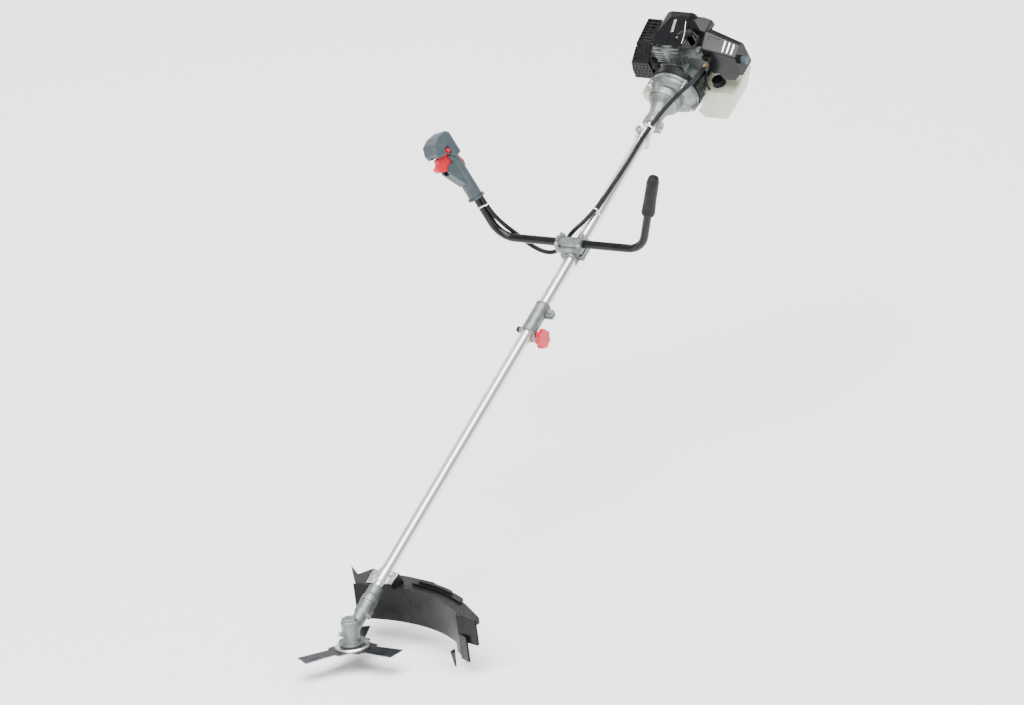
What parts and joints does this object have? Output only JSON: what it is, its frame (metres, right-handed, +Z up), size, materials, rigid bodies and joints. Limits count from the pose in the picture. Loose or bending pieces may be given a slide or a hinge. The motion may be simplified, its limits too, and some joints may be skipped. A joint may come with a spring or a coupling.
{
  "type": "brush cutter",
  "caption": "Petrol brush cutter: long two-piece boom, U-shaped handlebar with throttle handle, toothed blade under a debris guard, engine with fuel tank at the rear.",
  "frame": {"origin": "centre of the harness eye on top of the boom", "axes": "+X from the blade towards the engine, level when the blade is level; +Y to the operator's right, the throttle side; +Z up, along the blade spindle"},
  "size_m": [1.8334, 0.639, 0.9677],
  "materials": {
    "bright_aluminium": "satin",
    "cast_aluminium": "satin",
    "zinc_steel": "satin",
    "dark_steel": "satin",
    "black_steel": "gloss",
    "black_plastic": "matte",
    "gloss_black_plastic": "gloss",
    "grey_plastic": "matte",
    "red_plastic": "gloss",
    "black_rubber": "matte",
    "brass": "satin",
    "tank_plastic": "translucent",
    "white_nylon": "matte",
    "filter_foam": "matte",
    "clear_rubber": "gloss"
  },
  "bodies": {
    "power_head": {"upper_tube": "bright_aluminium", "boom_coupler": "cast_aluminium", "power_head_fasteners": "zinc_steel", "harness_hanger": "zinc_steel", "handlebar_tube": "black_steel", "plain_grip": "black_rubber", "boom_clamp": "cast_aluminium", "clamp_cap": "cast_aluminium", "throttle_shell_inner": "grey_plastic", "throttle_shell_outer": "grey_plastic", "cable_sleeve": "black_rubber", "cable_ties": "white_nylon", "cable_adjuster": "brass", "clutch_housing": "cast_aluminium", "shaft_bearings": "zinc_steel", "crankcase": "cast_aluminium", "cylinder": "cast_aluminium", "cylinder_cover": "gloss_black_plastic", "spark_plug": "zinc_steel", "ignition_lead": "black_rubber", "fan_housing": "black_plastic", "muffler": "zinc_steel", "muffler_guard": "black_plastic", "starter_housing": "black_plastic", "carburettor": "cast_aluminium", "filter_base": "black_plastic", "filter_element": "filter_foam", "fuel_tank": "tank_plastic", "fuel_hose": "black_rubber"},
    "lower_boom": {"lower_tube": "bright_aluminium", "gear_case": "cast_aluminium", "gear_case_bearings": "zinc_steel", "lower_boom_screws": "zinc_steel", "guard": "black_plastic", "guard_clamp": "bright_aluminium", "line_knife": "dark_steel"},
    "blade_rotor": {"blade_spindle": "zinc_steel", "clamp_collar": "zinc_steel", "blade": "dark_steel", "blade_flange": "zinc_steel", "blade_nut": "zinc_steel"},
    "lower_shaft": {"lower_drive_shaft": "zinc_steel"},
    "upper_shaft": {"upper_drive_shaft": "zinc_steel"},
    "crank": {"crankshaft": "zinc_steel", "clutch_rotor": "zinc_steel", "flywheel": "cast_aluminium"},
    "piston": {"piston": "cast_aluminium"},
    "coupler_knob": {"coupler_knob": "red_plastic"},
    "latch_pin": {"latch_pin": "black_plastic"},
    "throttle_trigger": {"throttle_trigger": "red_plastic"},
    "throttle_lockout": {"throttle_lockout": "red_plastic"},
    "stop_switch": {"stop_switch": "red_plastic"},
    "throttle_arm": {"throttle_arm": "zinc_steel"},
    "choke_lever": {"choke_lever": "black_plastic"},
    "primer_bulb": {"primer_bulb": "clear_rubber"},
    "filter_cover": {"filter_cover": "gloss_black_plastic"},
    "filter_knob": {"filter_knob": "grey_plastic"},
    "fuel_cap": {"fuel_cap": "black_plastic"},
    "starter_pulley": {"starter_pulley": "black_plastic"},
    "starter_handle": {"starter_handle": "black_plastic"}
  },
  "joints": [
    {"name": "boom_release", "type": "slide", "parent": "power_head", "child": "lower_boom", "axis": [-0.9063, 0, -0.4226], "range_m": [0, 0.12]},
    {"name": "blade_spin", "type": "hinge", "parent": "lower_boom", "child": "blade_rotor", "pos_m": [-1.39155, 0, -0.67868], "axis": [0, 0, 1], "continuous": true},
    {"name": "lower_shaft_spin", "type": "hinge", "parent": "lower_boom", "child": "lower_shaft", "pos_m": [-0.9384, 0, -0.46737], "axis": [0.9063, 0, 0.4226], "continuous": true},
    {"name": "upper_shaft_spin", "type": "hinge", "parent": "power_head", "child": "upper_shaft", "pos_m": [-0.21335, 0, -0.12928], "axis": [0.9063, 0, 0.4226], "continuous": true},
    {"name": "crank_spin", "type": "hinge", "parent": "power_head", "child": "crank", "pos_m": [0.20717, 0, 0.06681], "axis": [0.9063, 0, 0.4226], "continuous": true},
    {"name": "piston_slide", "type": "slide", "parent": "power_head", "child": "piston", "axis": [0.4226, 0, -0.9063], "range_m": [0, 0.032]},
    {"name": "knob_turn", "type": "hinge", "parent": "power_head", "child": "coupler_knob", "pos_m": [-0.52836, -0.024, -0.3032], "axis": [0, -1, 0], "range_deg": [0, 360]},
    {"name": "latch_pull", "type": "slide", "parent": "power_head", "child": "latch_pin", "axis": [0, 1, 0], "range_m": [0, 0.006], "stiffness_N_per_m": 800, "springref_m": -0.004},
    {"name": "throttle_squeeze", "type": "hinge", "parent": "power_head", "child": "throttle_trigger", "pos_m": [-0.37263, 0.2772, 0.05681], "axis": [0.1634, 0.9222, -0.3504], "range_deg": [0, 13], "stiffness_Nm_per_rad": 1.2, "springref_deg": -8.59},
    {"name": "throttle_arm_turn", "type": "hinge", "parent": "power_head", "child": "throttle_arm", "pos_m": [0.18544, -0.065, 0.12288], "axis": [-0.4226, 0, 0.9063], "range_deg": [0, 70]},
    {"name": "lockout_press", "type": "hinge", "parent": "power_head", "child": "throttle_lockout", "pos_m": [-0.34813, 0.2676, 0.04297], "axis": [-0.1634, -0.9222, 0.3504], "range_deg": [0, 5], "stiffness_Nm_per_rad": 0.6, "springref_deg": -5.73},
    {"name": "stop_slide", "type": "slide", "parent": "power_head", "child": "stop_switch", "axis": [-0.153, 0.3746, 0.9145], "range_m": [0, 0.003]},
    {"name": "choke_turn", "type": "hinge", "parent": "power_head", "child": "choke_lever", "pos_m": [0.17294, -0.0876, 0.12367], "axis": [-0.9063, 0, -0.4226], "range_deg": [0, 60]},
    {"name": "primer_press", "type": "slide", "parent": "power_head", "child": "primer_bulb", "axis": [-0.4226, 0, 0.9063], "range_m": [0, 0.004], "stiffness_N_per_m": 900, "springref_m": -0.002},
    {"name": "filter_cover_off", "type": "slide", "parent": "power_head", "child": "filter_cover", "axis": [0, -1, 0], "range_m": [0, 0.06]},
    {"name": "filter_knob_turn", "type": "hinge", "parent": "filter_cover", "child": "filter_knob", "pos_m": [0.20296, -0.17, 0.10898], "axis": [0, -1, 0], "range_deg": [0, 360]},
    {"name": "fuel_cap_turn", "type": "hinge", "parent": "power_head", "child": "fuel_cap", "pos_m": [0.22348, -0.084, 0.04132], "axis": [-0.4226, 0, 0.9063], "range_deg": [0, 360]},
    {"name": "starter_pulley_spin", "type": "hinge", "parent": "power_head", "child": "starter_pulley", "pos_m": [0.28693, 0, 0.10401], "axis": [0.9063, 0, 0.4226], "range_deg": [0, 690]},
    {"name": "starter_pull", "type": "slide", "parent": "power_head", "child": "starter_handle", "axis": [-0.4226, 0, 0.9063], "range_m": [0, 0.305]}
  ],
  "couplings": [
    {"joint": "lower_shaft_spin", "follows": "blade_spin", "ratio": -1.36},
    {"joint": "upper_shaft_spin", "follows": "blade_spin", "ratio": -1.36},
    {"joint": "throttle_arm_turn", "follows": "throttle_squeeze", "ratio": 5.2},
    {"joint": "starter_pull", "follows": "starter_pulley_spin", "m_per_rad": 0.025}
  ]
}
